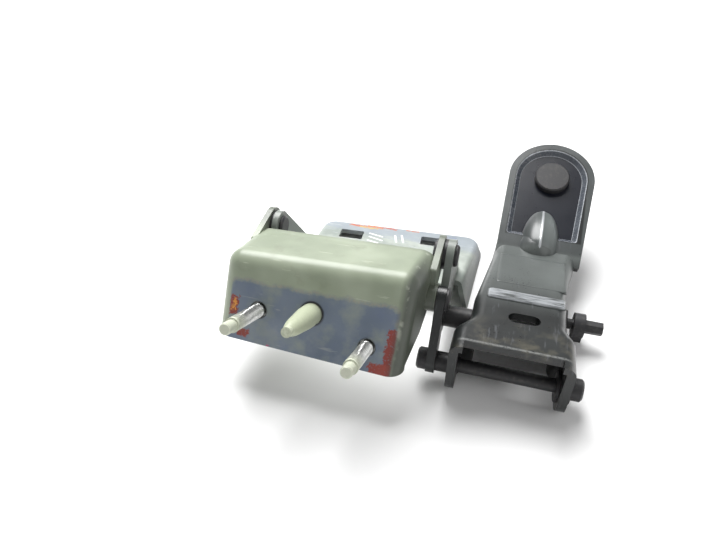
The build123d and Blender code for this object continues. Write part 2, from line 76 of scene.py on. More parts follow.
# %% Shader maths as plain expressions
class Wire:
    """One output of a shader tree that can be used in arithmetic."""

    def __init__(self, tree, socket):
        self.tree = tree
        self.socket = socket

    def math(self, operation, *values, clamp=False):
        node = self.tree.nodes.new("ShaderNodeMath")
        node.operation = operation
        node.use_clamp = clamp
        for socket, value in zip(node.inputs, values):
            plug(self.tree, value, socket)
        return Wire(self.tree, node.outputs[0])

    def __add__(self, other):
        return self.math("ADD", self, other)

    def __sub__(self, other):
        return self.math("SUBTRACT", self, other)

    def __rsub__(self, other):
        return self.math("SUBTRACT", other, self)

    def __mul__(self, other):
        return self.math("MULTIPLY", self, other)

    def __truediv__(self, other):
        return self.math("DIVIDE", self, other)

    def __abs__(self):
        return self.math("ABSOLUTE", self)

    __radd__ = __add__
    __rmul__ = __mul__

    def least(self, other):
        return self.math("MINIMUM", self, other)

    def most(self, other):
        return self.math("MAXIMUM", self, other)

    def root(self):
        return self.math("SQRT", self)

    def clamped(self):
        return self.math("ADD", self, 0.0, clamp=True)

    def rise(self, low, high):
        """0 below low and 1 above high, with a straight ramp between; low may be above high."""
        return ((self - low) * (1.0 / (high - low))).clamped()


def plug(tree, value, socket):
    """Links a wire to a socket, or sets the socket to a plain value."""
    if isinstance(value, Wire):
        tree.links.new(value.socket, socket)
    else:
        socket.default_value = value


print("a wire knows + - * / abs least most root clamped rise")

# %% [markdown]
# Every other node comes from one method, add. It sets a node's own settings first and then its
# sockets. A finish is a tree of nodes with one Principled shader, the Object coordinates of the
# piece and the few patterns that this hinge needs.

# %% Trees and finishes
class Tree:
    """A tree of shader nodes that grows by one node for each call of add."""

    def __init__(self, tree):
        self.tree = tree

    def add(self, kind, settings=None, sockets=None, output=0):
        """Adds any node: its settings first, then the values or links of its sockets."""
        node = self.tree.nodes.new(kind)
        for name, value in (settings or {}).items():
            if name == "stops":
                while len(node.color_ramp.elements) < len(value):
                    node.color_ramp.elements.new(0.5)
                for element, (position, level) in zip(node.color_ramp.elements, value):
                    element.position = position
                    element.color = (level, level, level, 1.0)
            else:
                setattr(node, name, value)
        for name, value in (sockets or {}).items():
            plug(self.tree, value, node.inputs[name])
        if output is None:
            return node
        return Wire(self.tree, node.outputs[output])


class Finish(Tree):
    """A material under construction: one Principled shader and the nodes that feed it."""

    def __init__(self, name, **fixed):
        self.material = bpy.data.materials.new(name)
        self.material.use_nodes = True
        super().__init__(self.material.node_tree)
        self.shader = self.tree.nodes["Principled BSDF"]
        for socket, value in fixed.items():
            self.shader.inputs[socket.replace("_", " ")].default_value = value
        self.place = self.add("ShaderNodeTexCoord", output="Object")
        split = self.add("ShaderNodeSeparateXYZ", sockets={"Vector": self.place}, output=None)
        self.x, self.y, self.z = (Wire(self.tree, split.outputs[axis]) for axis in "XYZ")

    def noise(self, scale, detail=3.0, rough=0.55, stretch=None, seed=0.0):
        """A noise from 0 to 1 on Object coordinates, in features per metre."""
        place = self.place
        if stretch or seed:
            place = self.add(
                "ShaderNodeMapping",
                sockets={
                    "Vector": place,
                    "Scale": stretch or (1.0, 1.0, 1.0),
                    "Location": (seed, seed * 0.7, -seed),
                },
            )
        return self.add(
            "ShaderNodeTexNoise",
            sockets={"Vector": place, "Scale": scale, "Detail": detail, "Roughness": rough},
        )

    def mix(self, mask, low, high):
        """Colour low where the mask is 0 and colour high where it is 1."""
        node = self.add("ShaderNodeMix", {"data_type": "RGBA"}, output=None)
        plug(self.tree, mask, node.inputs[0])
        plug(self.tree, low, node.inputs[6])
        plug(self.tree, high, node.inputs[7])
        return Wire(self.tree, node.outputs[2])

    def along(self, origin, direction):
        """Distance from a point along a direction, as a sum of the three coordinates."""
        shift = sum(o * d for o, d in zip(origin, direction))
        total = self.x * direction[0] + self.y * direction[1] + self.z * direction[2]
        return total - shift

    def bump(self, height, strength, depth):
        """Sends a height mask to the shader's normal."""
        normal = self.add(
            "ShaderNodeBump", sockets={"Height": height, "Strength": strength, "Distance": depth}
        )
        self.set("Normal", normal)

    def set(self, socket, value):
        plug(self.tree, value, self.shader.inputs[socket])

    def wear(self, *names):
        """Gives this finish to CAD nodes."""
        for name in names:
            nodes[name].data.materials.clear()
            nodes[name].data.materials.append(self.material)
        print(self.material.name, "on", ", ".join(names))


def rgb(red, green, blue):
    """A colour picked from the photograph, from 0 to 255, as linear light."""
    values = []
    for byte in (red, green, blue):
        share = byte / 255
        values.append(share / 12.92 if share <= 0.04045 else ((share + 0.055) / 1.055) ** 2.4)
    return (*values, 1.0)


def from_spot(across, along, spot):
    """Distance from a spot of a sheet that is given in millimetres."""
    aside = across - spot[0] * MM
    beyond = along - spot[1] * MM
    return (aside * aside + beyond * beyond).root()


def box_mask(across, along, spot, half, edge):
    """1 inside a rectangle given in millimetres and 0 outside, with a soft edge in metres."""
    side = half[0] * MM - abs(across - spot[0] * MM)
    level = half[1] * MM - abs(along - spot[1] * MM)
    return side.least(level).rise(-edge, edge)


print("a finish knows noise mix along bump set wear")

# %% [markdown]
# A product table is a white floor that burns out to white. It is a plain light grey near the
# hinge, where the shadow falls, and glows more and more with the distance from the middle.

# %% Floor
FLOOR_SIZE = 6.0
FLOOR_COLOUR = (0.86, 0.86, 0.86, 1.0)
FLOOR_GLOW_FROM = 0.25
FLOOR_GLOW_TO = 1.3
FLOOR_GLOW = 0.8

floor_mesh = bpy.data.meshes.new("floor")
floor_bm = bmesh.new()
bmesh.ops.create_grid(floor_bm, x_segments=1, y_segments=1, size=FLOOR_SIZE / 2)
floor_bm.to_mesh(floor_mesh)
floor_bm.free()
floor = bpy.data.objects.new("floor", floor_mesh)
bpy.context.scene.collection.objects.link(floor)
paint = Finish("floor_white", Base_Color=FLOOR_COLOUR, Roughness=0.8, Emission_Strength=1.0)
reach = paint.add("ShaderNodeVectorMath", {"operation": "LENGTH"}, {0: paint.place}, "Value")
paint.set("Emission Color", reach.rise(FLOOR_GLOW_FROM, FLOOR_GLOW_TO) * FLOOR_GLOW)
floor_mesh.materials.append(paint.material)
print("floor", FLOOR_SIZE, "m wide")

# %% [markdown]
# The world lights the hinge evenly, brighter at the horizon than overhead, so that level sheet
# metal mirrors a bright wall and the lug, which leans towards the camera, mirrors the darker
# ceiling. One large soft lamp behind the hinge gives the shadow, and a weak one fills its front.

# %% Sky and lamps
SKY_STOPS = [(0.0, 0.95), (0.35, 0.9), (0.62, 0.5), (1.0, 0.22)]
SKY_STRENGTH = 0.66
LAMPS = {
    "key": {"place": (-0.4, 0.6, 1.05), "size": 1.0, "watts": 33.0},
    "fill": {"place": (0.9, -0.5, 0.8), "size": 1.2, "watts": 4.0},
}

world = bpy.data.worlds.new("studio")
bpy.context.scene.world = world
world.use_nodes = True
sky = Tree(world.node_tree)
look = sky.add("ShaderNodeTexCoord", output="Generated")
height = sky.add("ShaderNodeSeparateXYZ", sockets={"Vector": look}, output="Z")
shade = sky.add("ShaderNodeValToRGB", {"stops": SKY_STOPS}, {"Fac": height})
background = world.node_tree.nodes["Background"]
plug(sky.tree, shade, background.inputs["Color"])
background.inputs["Strength"].default_value = SKY_STRENGTH

for name, lamp in LAMPS.items():
    light = bpy.data.lights.new(name, "AREA")
    light.shape = "DISK"
    light.size = lamp["size"]
    light.energy = lamp["watts"]
    holder = bpy.data.objects.new(name, light)
    holder.location = lamp["place"]
    holder.rotation_euler = (-Vector(lamp["place"])).to_track_quat("-Z", "Y").to_euler()
    bpy.context.scene.collection.objects.link(holder)
bpy.context.scene.view_settings.view_transform = "Standard"
print("lamps", sorted(LAMPS))

# %% [markdown]
# The face of the body bracket leans back by 29 degrees. Paint marks on it are easiest to place in
# the face's own directions: across it, up it and out of it, measured from the left stud.

# %% Directions of the tilted face
FACE_TILT = math.radians(29.0)
FACE_ORIGIN = Vector((-0.0831, -0.0848, 0.0474))
FACE_OUT = Vector((0.0, -math.cos(FACE_TILT), math.sin(FACE_TILT)))
FACE_UP = Vector((0.0, math.sin(FACE_TILT), math.cos(FACE_TILT)))
FACE_ACROSS = Vector((1.0, 0.0, 0.0))
STUD_SPOTS = {"left": (0.0, 0.0), "right": (62.8, -8.2)}
PIN_SPOT = (30.4, 4.0)
print("face leans", round(math.degrees(FACE_TILT)), "degrees")

# %% [markdown]
# The body bracket wears a satin sage primer. Where it was bolted to the car the face is rubbed to
# a blue-grey patch with rounded corners, and beside the patch some red body paint was left.
# Each is a box-shaped mask in face directions whose edge is broken up by a noise.

# %% Sage primer
PATCH_MIDDLE = 29.5 * MM
PATCH_HALF = 48.5 * MM
PATCH_TOP = 15.0 * MM
PATCH_SLANT = 0.02
PATCH_CORNER = 2.4 * MM
# Spot and radius, in millimetres, of the ring of painted shade at the foot of each stud and of the pin.
FOOT_SHADE_RINGS = [(STUD_SPOTS["left"], 4.9), (STUD_SPOTS["right"], 4.9), (PIN_SPOT, 6.9)]
WALL_SLANT = 0.1
WALL_FRONT = -80.0 * MM
WALL_RUB = 5.0 * MM
# Middle and half size of each mark in millimetres across and up the face, and its colour.
FACE_MARKS = [
    ((-14.8, 0.0), (2.6, 5.6), (130, 58, 48)),
    ((-14.4, 0.5), (0.8, 3.6), (206, 140, 62)),
    ((-8.2, -14.6), (3.0, 2.3), (128, 58, 50)),
    ((76.8, -2.4), (3.6, 6.6), (130, 56, 48)),
    ((76.4, -14.0), (4.0, 8.6), (126, 54, 46)),
    ((73.0, -20.8), (8.0, 4.6), (136, 60, 50)),
    ((64.0, -23.3), (2.0, 1.2), (134, 62, 54)),
    ((20.0, -24.6), (24.0, 1.1), (136, 78, 62)),
    ((7.7, -18.7), (0.7, 0.5), (176, 60, 110)),
]


def sage_primer():
    paint = Finish("sage_primer", IOR=1.45)
    across = paint.along(FACE_ORIGIN, FACE_ACROSS)
    up = paint.along(FACE_ORIGIN, FACE_UP)
    out = paint.along(FACE_ORIGIN, FACE_OUT)
    on_face = out.rise(-0.6 * MM, -0.2 * MM) * (1.0 - out.rise(0.3 * MM, 0.4 * MM))
    wobble = (paint.noise(160.0) - 0.5) * (5.0 * MM)
    tear = (paint.noise(520.0, detail=4.0, seed=0.3) - 0.5) * (7.0 * MM)
    fine = paint.noise(900.0, detail=4.0)
    cloud = paint.noise(38.0, detail=2.0)
    # Sage in two tones, with patches of grime and pale scratches.
    sage = paint.mix(cloud.rise(0.35, 0.7), rgb(132, 141, 122), rgb(151, 159, 140))
    grime = paint.noise(95.0, detail=5.0, seed=0.2).rise(0.56, 0.74)
    sage = paint.mix(grime * 0.35, sage, rgb(112, 114, 98))
    scratch = paint.noise(60.0, detail=6.0, stretch=(1.0, 9.0, 9.0), seed=0.5).rise(0.66, 0.7)
    sage = paint.mix(scratch * 0.4, sage, rgb(186, 190, 170))
    # The bolted patch is blue-grey, scratched and mottled.
    blue = paint.mix(cloud.rise(0.3, 0.75), rgb(90, 102, 120), rgb(110, 120, 136))
    blue = paint.mix(scratch * 0.5 + grime * 0.3, blue, rgb(140, 146, 146))
    mottle = paint.noise(75.0, detail=4.0, seed=0.9)
    blue = paint.mix(mottle.rise(0.48, 0.68) * 0.65, blue, rgb(130, 138, 130))
    blue = paint.mix(mottle.rise(0.42, 0.3) * 0.45, blue, rgb(92, 104, 130))
    # Its outline is a rectangle with cut corners, a sloping top and an edge that wobbles.
    side = PATCH_HALF - abs(across + wobble - PATCH_MIDDLE)
    level = (PATCH_TOP + across * PATCH_SLANT) - (up + wobble)
    corner = side.least(level).least((side + level) * 0.7 - PATCH_CORNER)
    patch = corner.rise(-1.6 * MM, 1.6 * MM) * on_face * 0.94
    colour = paint.mix(patch, sage, blue)
    rim = abs(corner).rise(1.3 * MM, 0.4 * MM) * on_face * fine.rise(0.42, 0.6)
    colour = paint.mix(rim * 0.28, colour, rgb(160, 142, 120))
    # Body paint was left on the face in small torn marks.
    for spot, half, shade in FACE_MARKS:
        mark = box_mask(across + tear, up + tear * 0.8, spot, half, 0.35 * MM)
        colour = paint.mix(mark * on_face * fine.rise(0.3, 0.42), colour, rgb(*shade))
    # The right wall gets painted shade. A paler band near its upper bend is rubbed paint with a painted
    # highlight over it.
    wall = paint.x - (paint.y - WALL_FRONT) * WALL_SLANT - 1.0 * MM
    shade = wall.rise(-8.5 * MM, -4.0 * MM) * paint.y.rise(-20.0 * MM, -56.0 * MM)
    colour = paint.mix(shade * 0.82, colour, rgb(52, 55, 52))
    rubbed = abs(wall + WALL_RUB).rise(1.6 * MM, 0.5 * MM) * paint.z.rise(30.0 * MM, 60.0 * MM)
    rubbed = rubbed * paint.noise(130.0, seed=1.1).rise(0.52, 0.62)
    colour = paint.mix(rubbed * 0.4, colour, rgb(196, 200, 186))
    # Painted shade darkens each ear and everything low down, except the face.
    ear_shade = paint.y.rise(-36.0 * MM, -27.0 * MM)
    colour = paint.mix(ear_shade * 0.7, colour, rgb(70, 74, 70))
    low = paint.z.rise(24.0 * MM, 14.0 * MM) * (1.0 - on_face)
    colour = paint.mix(low * 0.5, colour, rgb(84, 86, 76))
    # Painted shade: a dark ring round the foot of each stud and of the pin.
    ring = 0.0
    for spot, radius in FOOT_SHADE_RINGS:
        apart = from_spot(across, up, spot)
        ring = ring + (1.0 - apart.rise((radius - 0.2) * MM, (radius + 0.5) * MM))
    ring = ring.clamped() * on_face
    colour = paint.mix(ring * 0.8, colour, rgb(44, 44, 42))
    paint.set("Base Color", colour)
    paint.set("Roughness", 0.31 + fine * 0.12 + patch * 0.18)
    paint.bump(paint.noise(420.0, detail=2.0) + scratch * 0.4, 0.12, 0.2 * MM)
    return paint


sage_primer().wear("body_bracket")

# %% [markdown]
# The locating pin was sprayed with the bracket, but it has no bolted patch, so it gets a plain coat
# of the same primer with a rubbed tip.

# %% Locating pin
def pin_primer():
    paint = Finish("pin_primer", IOR=1.45)
    out = paint.along(FACE_ORIGIN, FACE_OUT)
    fine = paint.noise(800.0, detail=4.0)
    rubbed = out.rise(33.0 * MM, 37.0 * MM) * fine.rise(0.35, 0.6)
    colour = paint.mix(fine, rgb(158, 165, 140), rgb(178, 184, 160))
    colour = paint.mix(rubbed * 0.6, colour, rgb(198, 202, 184))
    # Painted shade darkens the pin's foot, where it meets the face.
    foot = 1.0 - out.rise(0.6 * MM, 1.6 * MM)
    paint.set("Base Color", paint.mix(foot * 0.8, colour, rgb(60, 60, 54)))
    paint.set("Roughness", 0.4 + fine * 0.12)
    paint.bump(fine, 0.1, 0.1 * MM)
    return paint


pin_primer().wear("locating_pin")

# %% [markdown]
# The studs are zinc plated. The primer was sprayed over their tips, so each fades from bright
# metal at the face to sage at the end.

# %% Zinc with overspray
def zinc_plate():
    zinc = Finish("zinc_plate")
    out = zinc.along(FACE_ORIGIN, FACE_OUT)
    grain = zinc.noise(700.0, detail=4.0)
    spray = (out + (grain - 0.5) * (8.0 * MM)).rise(20.0 * MM, 31.0 * MM) * 0.85
    metal = zinc.mix(grain.rise(0.3, 0.7), rgb(168, 170, 168), rgb(222, 223, 220))
    across = zinc.along(FACE_ORIGIN, FACE_ACROSS)
    up = zinc.along(FACE_ORIGIN, FACE_UP)
    left, right = (from_spot(across, up, spot) for spot in STUD_SPOTS.values())
    # Painted shade darkens the roots of the thread.
    groove = left.least(right).rise(3.85 * MM, 3.4 * MM) * out.rise(31.9 * MM, 31.5 * MM)
    colour = zinc.mix(spray, metal, rgb(186, 190, 170))
    zinc.set("Base Color", zinc.mix(groove * 0.7, colour, rgb(74, 76, 74)))
    zinc.set("Metallic", 1.0 - spray)
    zinc.set("Roughness", 0.26 + grain * 0.16 + spray * 0.2)
    return zinc


zinc = zinc_plate()
print(zinc.material.name, "made for the studs")

# %% [markdown]
# A rolled thread is one surface: its radius depends on the height and on the angle together, and
# so the ridge climbs by one pitch for each turn. The stud's outline is spun into a plain lathe
# form with many rows along the shank, and each point of the shank is then drawn in towards the
# axis by the depth of the groove at its height and angle.

# %% Threaded studs
STUD_RADIUS = 4.0
# Height and radius, in millimetres, of the corners of a stud's outline below and above its shank.
STUD_FOOT = [(-6.5, 0.0), (-6.5, 7.1), (-6.1, 7.5), (-3.5, 7.5), (-3.5, 3.7), (0.5, 3.7), (0.5, 4.0)]
STUD_TIP = [(33.0, 4.0), (33.0, 3.15), (40.4, 3.15), (41.0, 2.55), (41.0, 0.0)]
THREAD_PITCH = 1.25
THREAD_DEPTH = 0.74
THREAD_FLANK = 1.25
THREAD_START = 1.4
THREAD_END = 32.0
THREAD_TURN = 40
ROWS_PER_PITCH = 8
CLOSE = 0.01 * MM


def new_object(name, bm, material):
    """Turns a finished bmesh into an object at the origin, with its faces pointing outwards."""
    bmesh.ops.recalc_face_normals(bm, faces=bm.faces[:])
    mesh = bpy.data.meshes.new(name)
    bm.to_mesh(mesh)
    bm.free()
    made = bpy.data.objects.new(name, mesh)
    bpy.context.scene.collection.objects.link(made)
    mesh.materials.append(material)
    return made


def groove(height, angle):
    """Depth of the thread's groove at one point, in millimetres, fading out at both ends."""
    phase = (height / THREAD_PITCH - angle / (2 * math.pi)) % 1.0
    depth = THREAD_DEPTH * min(1.0, THREAD_FLANK * abs(2.0 * phase - 1.0))
    ends = min(height - THREAD_START, THREAD_END - height) / THREAD_PITCH
    return depth * min(1.0, max(0.0, ends))


def threaded_stud(side):
    bm = bmesh.new()
    rows = int((STUD_TIP[0][0] - STUD_FOOT[-1][0]) / THREAD_PITCH * ROWS_PER_PITCH)
    outline = [bm.verts.new((radius * MM, 0.0, height * MM)) for height, radius in STUD_FOOT + STUD_TIP]
    edges = [bm.edges.new(pair) for pair in zip(outline[:-1], outline[1:])]
    shank = edges[len(STUD_FOOT) - 1]
    bmesh.ops.subdivide_edges(bm, edges=[shank], cuts=rows)
    bmesh.ops.spin(
        bm,
        geom=bm.verts[:] + bm.edges[:],
        cent=(0.0, 0.0, 0.0),
        axis=(0.0, 0.0, 1.0),
        angle=2 * math.pi,
        steps=THREAD_TURN,
        use_merge=True,
    )
    bmesh.ops.remove_doubles(bm, verts=bm.verts[:], dist=CLOSE)
    for vert in bm.verts:
        radius = math.hypot(vert.co.x, vert.co.y)
        if abs(radius - STUD_RADIUS * MM) < CLOSE:
            share = 1.0 - groove(vert.co.z / MM, math.atan2(vert.co.y, vert.co.x)) * MM / radius
            vert.co.x *= share
            vert.co.y *= share
    across, up = STUD_SPOTS[side]
    foot = FACE_ORIGIN + FACE_ACROSS * (across * MM) + FACE_UP * (up * MM)
    stand = Matrix((FACE_ACROSS, FACE_UP, FACE_OUT)).transposed().to_4x4()
    bmesh.ops.transform(bm, matrix=Matrix.Translation(foot) @ stand, verts=bm.verts[:])
    stud = new_object(f"threaded_stud_{side}", bm, zinc.material)
    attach(stud, "body_bracket")
    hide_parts(f"stud_{side}")
    return stud


zinc.wear("stud_left", "stud_right")
for side in STUD_SPOTS:
    stud = threaded_stud(side)
    print(stud.name, len(stud.data.polygons), "faces")

# %% [markdown]
# The lid bracket is a lighter grey-green. The lid's frame scuffed it blue-grey towards the rear,
# other colours of paint stuck to its rear edge, and someone marked it with a white paint pen. The
# marks here are plain strokes.

# %% Light grey body paint
PLATE_ORIGIN = (0.0, 4.2 * MM, 17.7 * MM)
PLATE_SLOPE = math.radians(8.0)
PLATE_RUN = (0.0, math.cos(PLATE_SLOPE), -math.sin(PLATE_SLOPE))
PEN_HALF = 0.8 * MM
# Both ends of each stroke in millimetres, across the plate and along it.
PEN_STROKES = [
    ((-56.0, 44.0), (-45.0, 41.5)),
    ((-55.0, 39.0), (-44.0, 36.0)),
    ((-55.0, 33.5), (-46.0, 31.5)),
    ((-37.0, 47.0), (-34.0, 37.0)),
    ((-32.5, 49.0), (-29.0, 38.0)),
    ((-51.0, 22.0), (-40.0, 20.0)),
]
# Middle, half size and colour of each trace of paint, as for the marks on the face.
PLATE_TRACES = [
    ((-66.0, 52.5), (7.0, 1.2), (178, 92, 60)),
    ((-54.0, 54.6), (6.0, 1.5), (188, 110, 66)),
    ((-58.0, 52.0), (7.0, 0.8), (186, 156, 84)),
    ((-43.0, 55.8), (6.0, 1.1), (168, 84, 64)),
    ((-26.0, 57.6), (5.0, 0.8), (176, 110, 84)),
    ((4.0, 57.0), (3.4, 1.2), (120, 128, 146)),
]


def stroke_mask(across, along, start, end, width):
    """1 within a pen's width of a straight stroke between two points, in metres."""
    run = Vector(end) - Vector(start)
    length = run.length * MM
    way = run.normalized()
    from_x = across - start[0] * MM
    from_y = along - start[1] * MM
    ahead = from_x * way.x + from_y * way.y
    aside = abs(from_x * -way.y + from_y * way.x)
    inside = (ahead.least(length - ahead)).rise(-0.3 * MM, 0.3 * MM)
    return inside * aside.rise(width, width * 0.6)


def light_grey():
    paint = Finish("light_grey_paint", IOR=1.45)
    along = paint.along(PLATE_ORIGIN, PLATE_RUN)
    across = paint.x
    cloud = paint.noise(60.0, detail=3.0)
    fine = paint.noise(700.0, detail=4.0)
    scrape = paint.noise(70.0, detail=6.0, stretch=(1.0, 6.0, 6.0), seed=0.4)
    base = paint.mix(cloud.rise(0.35, 0.65), rgb(134, 142, 136), rgb(164, 170, 163))
    rear = along.rise(30 * MM, 55 * MM)
    scuffed = (rear * 0.6 + scrape * 0.7).rise(0.55, 0.75)
    colour = paint.mix(scuffed * 0.6, base, rgb(134, 142, 156))
    bright = scrape.rise(0.62, 0.68)
    colour = paint.mix(bright * 0.5, colour, rgb(190, 194, 192))
    # Other colours of paint stuck to the rear edge.
    shake = (paint.noise(300.0, detail=3.0, seed=0.6) - 0.5) * (4.0 * MM)
    for spot, half, shade in PLATE_TRACES:
        trace = box_mask(across + shake, along + shake, spot, half, 0.4 * MM)
        colour = paint.mix(trace * fine.rise(0.36, 0.5), colour, rgb(*shade))
    # White pen strokes lie on the top.
    top = paint.z.rise(10.0 * MM, 11.0 * MM)
    pen = 0.0
    for start, end in PEN_STROKES:
        pen = stroke_mask(across, along, start, end, PEN_HALF) + pen
    pen = pen.clamped() * top * fine.rise(0.3, 0.38)
    colour = paint.mix(pen, colour, rgb(226, 228, 228))
    # Painted shade darkens the flanges low down and each arm.
    low = paint.z.rise(10.0 * MM, 3.0 * MM)
    colour = paint.mix(low * 0.75, colour, rgb(66, 70, 68))
    arm_shade = paint.z.rise(19.0 * MM, 27.0 * MM)
    colour = paint.mix(arm_shade * 0.65, colour, rgb(84, 89, 84))
    paint.set("Base Color", colour)
    paint.set("Roughness", 0.3 + fine * 0.14 + pen * 0.2)
    paint.bump(paint.noise(400.0, detail=2.0), 0.12, 0.2 * MM)
    return paint


light_grey().wear("lid_bracket")

# %% [markdown]
# The lever arm is coated black. The coat is smooth enough to mirror the wall behind it, so it reads
# as grey where it lies level and as nearly black where it leans back, and that reflection is also
# painted into its colour. The bright cross bead, rim of the lug's recess and ridge of the gusset are
# painted highlights over some rubbed metal, and brown dust lies near the front lip.

# %% Semi-gloss black
WEB_ORIGIN = (0.0, -71.0 * MM, 42.1 * MM)
WEB_SLOPE = math.radians(8.03)
WEB_RUN = (0.0, math.cos(WEB_SLOPE), -math.sin(WEB_SLOPE))
WEB_OUT = (0.0, math.sin(WEB_SLOPE), math.cos(WEB_SLOPE))
WEB_LENGTH = 112.0 * MM
LUG_ANGLE = math.radians(25.0)
LUG_ORIGIN = (0.0, 41.0 * MM, 42.1 * MM - WEB_LENGTH * math.tan(WEB_SLOPE))
LUG_RUN = (0.0, math.cos(LUG_ANGLE), math.sin(LUG_ANGLE))
LUG_OUT = (0.0, -math.sin(LUG_ANGLE), math.cos(LUG_ANGLE))
LUG_MIDDLE = 65.6 * MM
LUG_ROUND = 59.7 * MM
RECESS_RADIUS = 24.6 * MM
RECESS_FOOT = 10.0 * MM
BEAD_SPOT = (59.0, 50.5)
BEAD_HALF = (22.4, 4.9)
CAVITY_LEFT = (24.0 * MM, 27.0 * MM)
CAVITY_RIGHT = (86.0 * MM, 83.0 * MM)


def gloss_black(name, worn):
    paint = Finish(name, IOR=1.5)
    fine = paint.noise(900.0, detail=4.0)
    cloud = paint.noise(45.0, detail=3.0)
    scrape = paint.noise(60.0, detail=6.0, stretch=(7.0, 1.0, 1.0), seed=0.8)
    colour = paint.mix(cloud.rise(0.3, 0.7), rgb(21, 23, 23), rgb(35, 38, 38))
    light_scuff = scrape.rise(0.6, 0.68)
    colour = paint.mix(light_scuff * 0.4, colour, rgb(96, 98, 102))
    bare = light_scuff * 0.1
    if worn:
        web_run = paint.along(WEB_ORIGIN, WEB_RUN)
        web_out = paint.along(WEB_ORIGIN, WEB_OUT)
        lug_run = paint.along(LUG_ORIGIN, LUG_RUN)
        lug_out = paint.along(LUG_ORIGIN, LUG_OUT)
        # The web gets a painted reflection that is paler towards the bend. It is dusty near the front, and
        # its front edge is rubbed, with a painted highlight.
        on_lug = lug_run.rise(-1.0 * MM, 3.0 * MM)
        on_web = web_out.rise(-7.0 * MM, -1.0 * MM) * (1.0 - on_lug)
        web_reflection = web_run.rise(36.0 * MM, 74.0 * MM) * on_web
        colour = paint.mix(web_reflection * (0.5 + cloud * 0.4), colour, rgb(98, 103, 101))
        dust = web_run.rise(30.0 * MM, 4.0 * MM) * paint.noise(110.0, detail=5.0, seed=0.1).rise(0.5, 0.68)
        colour = paint.mix(dust * 0.45 * on_web, colour, rgb(96, 92, 78))
        lip = abs(web_run - 1.2 * MM).rise(1.2 * MM, 0.3 * MM) * web_out.rise(-1.4 * MM, -0.4 * MM)
        colour = paint.mix(lip * fine.rise(0.3, 0.5) * 0.4, colour, rgb(150, 152, 150))
        # Painted shade makes the inside of the channel almost black.
        cavity_shade = web_out.rise(-4.6 * MM, -5.6 * MM) * web_run.rise(-3.0 * MM, 1.0 * MM)
        cavity_shade = cavity_shade * paint.x.rise(*CAVITY_LEFT) * paint.x.rise(*CAVITY_RIGHT)
        colour = paint.mix(cavity_shade * 0.9, colour, rgb(12, 12, 12))
        # Painted reflection makes the floor of the recess blue-black and the rim round it paler.
        beyond = (lug_run - LUG_ROUND).most(0.0)
        aside = paint.x - LUG_MIDDLE
        apart = (aside * aside + beyond * beyond).root()
        outside = apart.rise(RECESS_RADIUS + 0.2 * MM, RECESS_RADIUS + 1.0 * MM).most(
            lug_run.rise(RECESS_FOOT, RECESS_FOOT - 1.0 * MM)
        )
        recess_reflection = (1.0 - outside) * lug_out.rise(-2.6 * MM, -3.2 * MM) * on_lug
        colour = paint.mix(recess_reflection * 0.9, colour, rgb(12, 16, 28))
        edge = outside * lug_out.rise(-3.0 * MM, -0.6 * MM) * on_lug
        colour = paint.mix(edge * (0.35 + cloud * 0.4), colour, rgb(88, 92, 92))
        # The cross bead gets a painted highlight in streaks, over paint rubbed to metal.
        bead = box_mask(paint.x, web_run, BEAD_SPOT, BEAD_HALF, 0.5 * MM)
        bead = bead * web_out.rise(0.3 * MM, 0.9 * MM) * (1.0 - on_lug)
        streak = paint.noise(90.0, detail=5.0, stretch=(1.0, 6.0, 1.0), seed=0.2).rise(0.32, 0.56)
        wear = bead * 0.85 * streak
        colour = paint.mix(wear, colour, rgb(182, 186, 190))
        bare = (bare + wear * 0.7).clamped()
    paint.set("Base Color", colour)
    paint.set("Metallic", bare)
    paint.set("Roughness", 0.2 + fine * 0.12 + cloud * 0.08)
    paint.bump(paint.noise(350.0, detail=2.0), 0.1, 0.15 * MM)
    return paint


arm_coat = gloss_black("arm_black_coat", True)
arm_coat.wear("lever_arm")
gloss_black("link_black_coat", False).wear("control_link")

# %% [markdown]
# The press left soft forms that sharp solids don't show. The wall of the lug's recess slopes in
# all round, the gusset is a full drop with a fine ridge along its middle, and the web sinks a
# little behind the cross bead. The slope is a circle of edges, extruded twice and bridged to
# itself. The other two are grids laid on a form by a formula, with a wall below, so that their
# hidden sides lie inside the sheet.

# %% Bevel of the recess, gusset and dish
OUTLINE_CIRCLES = {
    "top": {"centre": (65.6, 59.5), "radius": 24.6, "foot_radius": 21.3, "shift": (0.0, 0.0)},
    "left": {"centre": (43.1, 12.0), "radius": 2.0, "foot_radius": 0.5, "shift": (1.9, 1.9)},
    "right": {"centre": (86.1, 12.0), "radius": 2.0, "foot_radius": 0.5, "shift": (-1.9, 1.9)},
}
BEVEL_STEPS = 160
BEVEL_TOP = -0.12
BEVEL_FOOT = -3.52
BEVEL_BACK = -3.9
GUSSET_MIDDLE = 64.0
GUSSET_ENDS = (-4.4, 33.2)
GUSSET_HALF = 12.8
GUSSET_TOP = 7.8
GUSSET_FLOOR = -3.6
GUSSET_PEAK = 4.0
GUSSET_FRONT_FALL = 18.0
GUSSET_TIP = 0.1
NARROWING = 2.2
CROWNING = 1.8
SWELLING = 0.62
GUSSET_GRID = (28, 26)
RIDGE_HEIGHT = 0.45
RIDGE_HALF = 0.14
SKIN_WALL = 1.2
STEEPEST_SMOOTH = 0.08
DISH_CENTRE = (61.0, 83.0)
DISH_HALF = (20.9, 18.0)
DISH_DEPTH = 1.0
DISH_LIFT = 0.04
DISH_STEPS = 28


def plane_point(origin, run, out_way, across, along, height):
    """A place given across, along and out of a tilted sheet, in millimetres."""
    offset = Vector((across, 0.0, 0.0)) + Vector(run) * along + Vector(out_way) * height
    return Vector(origin) + offset * MM


def lug_point(across, along, height):
    return plane_point(LUG_ORIGIN, LUG_RUN, LUG_OUT, across, along, height)


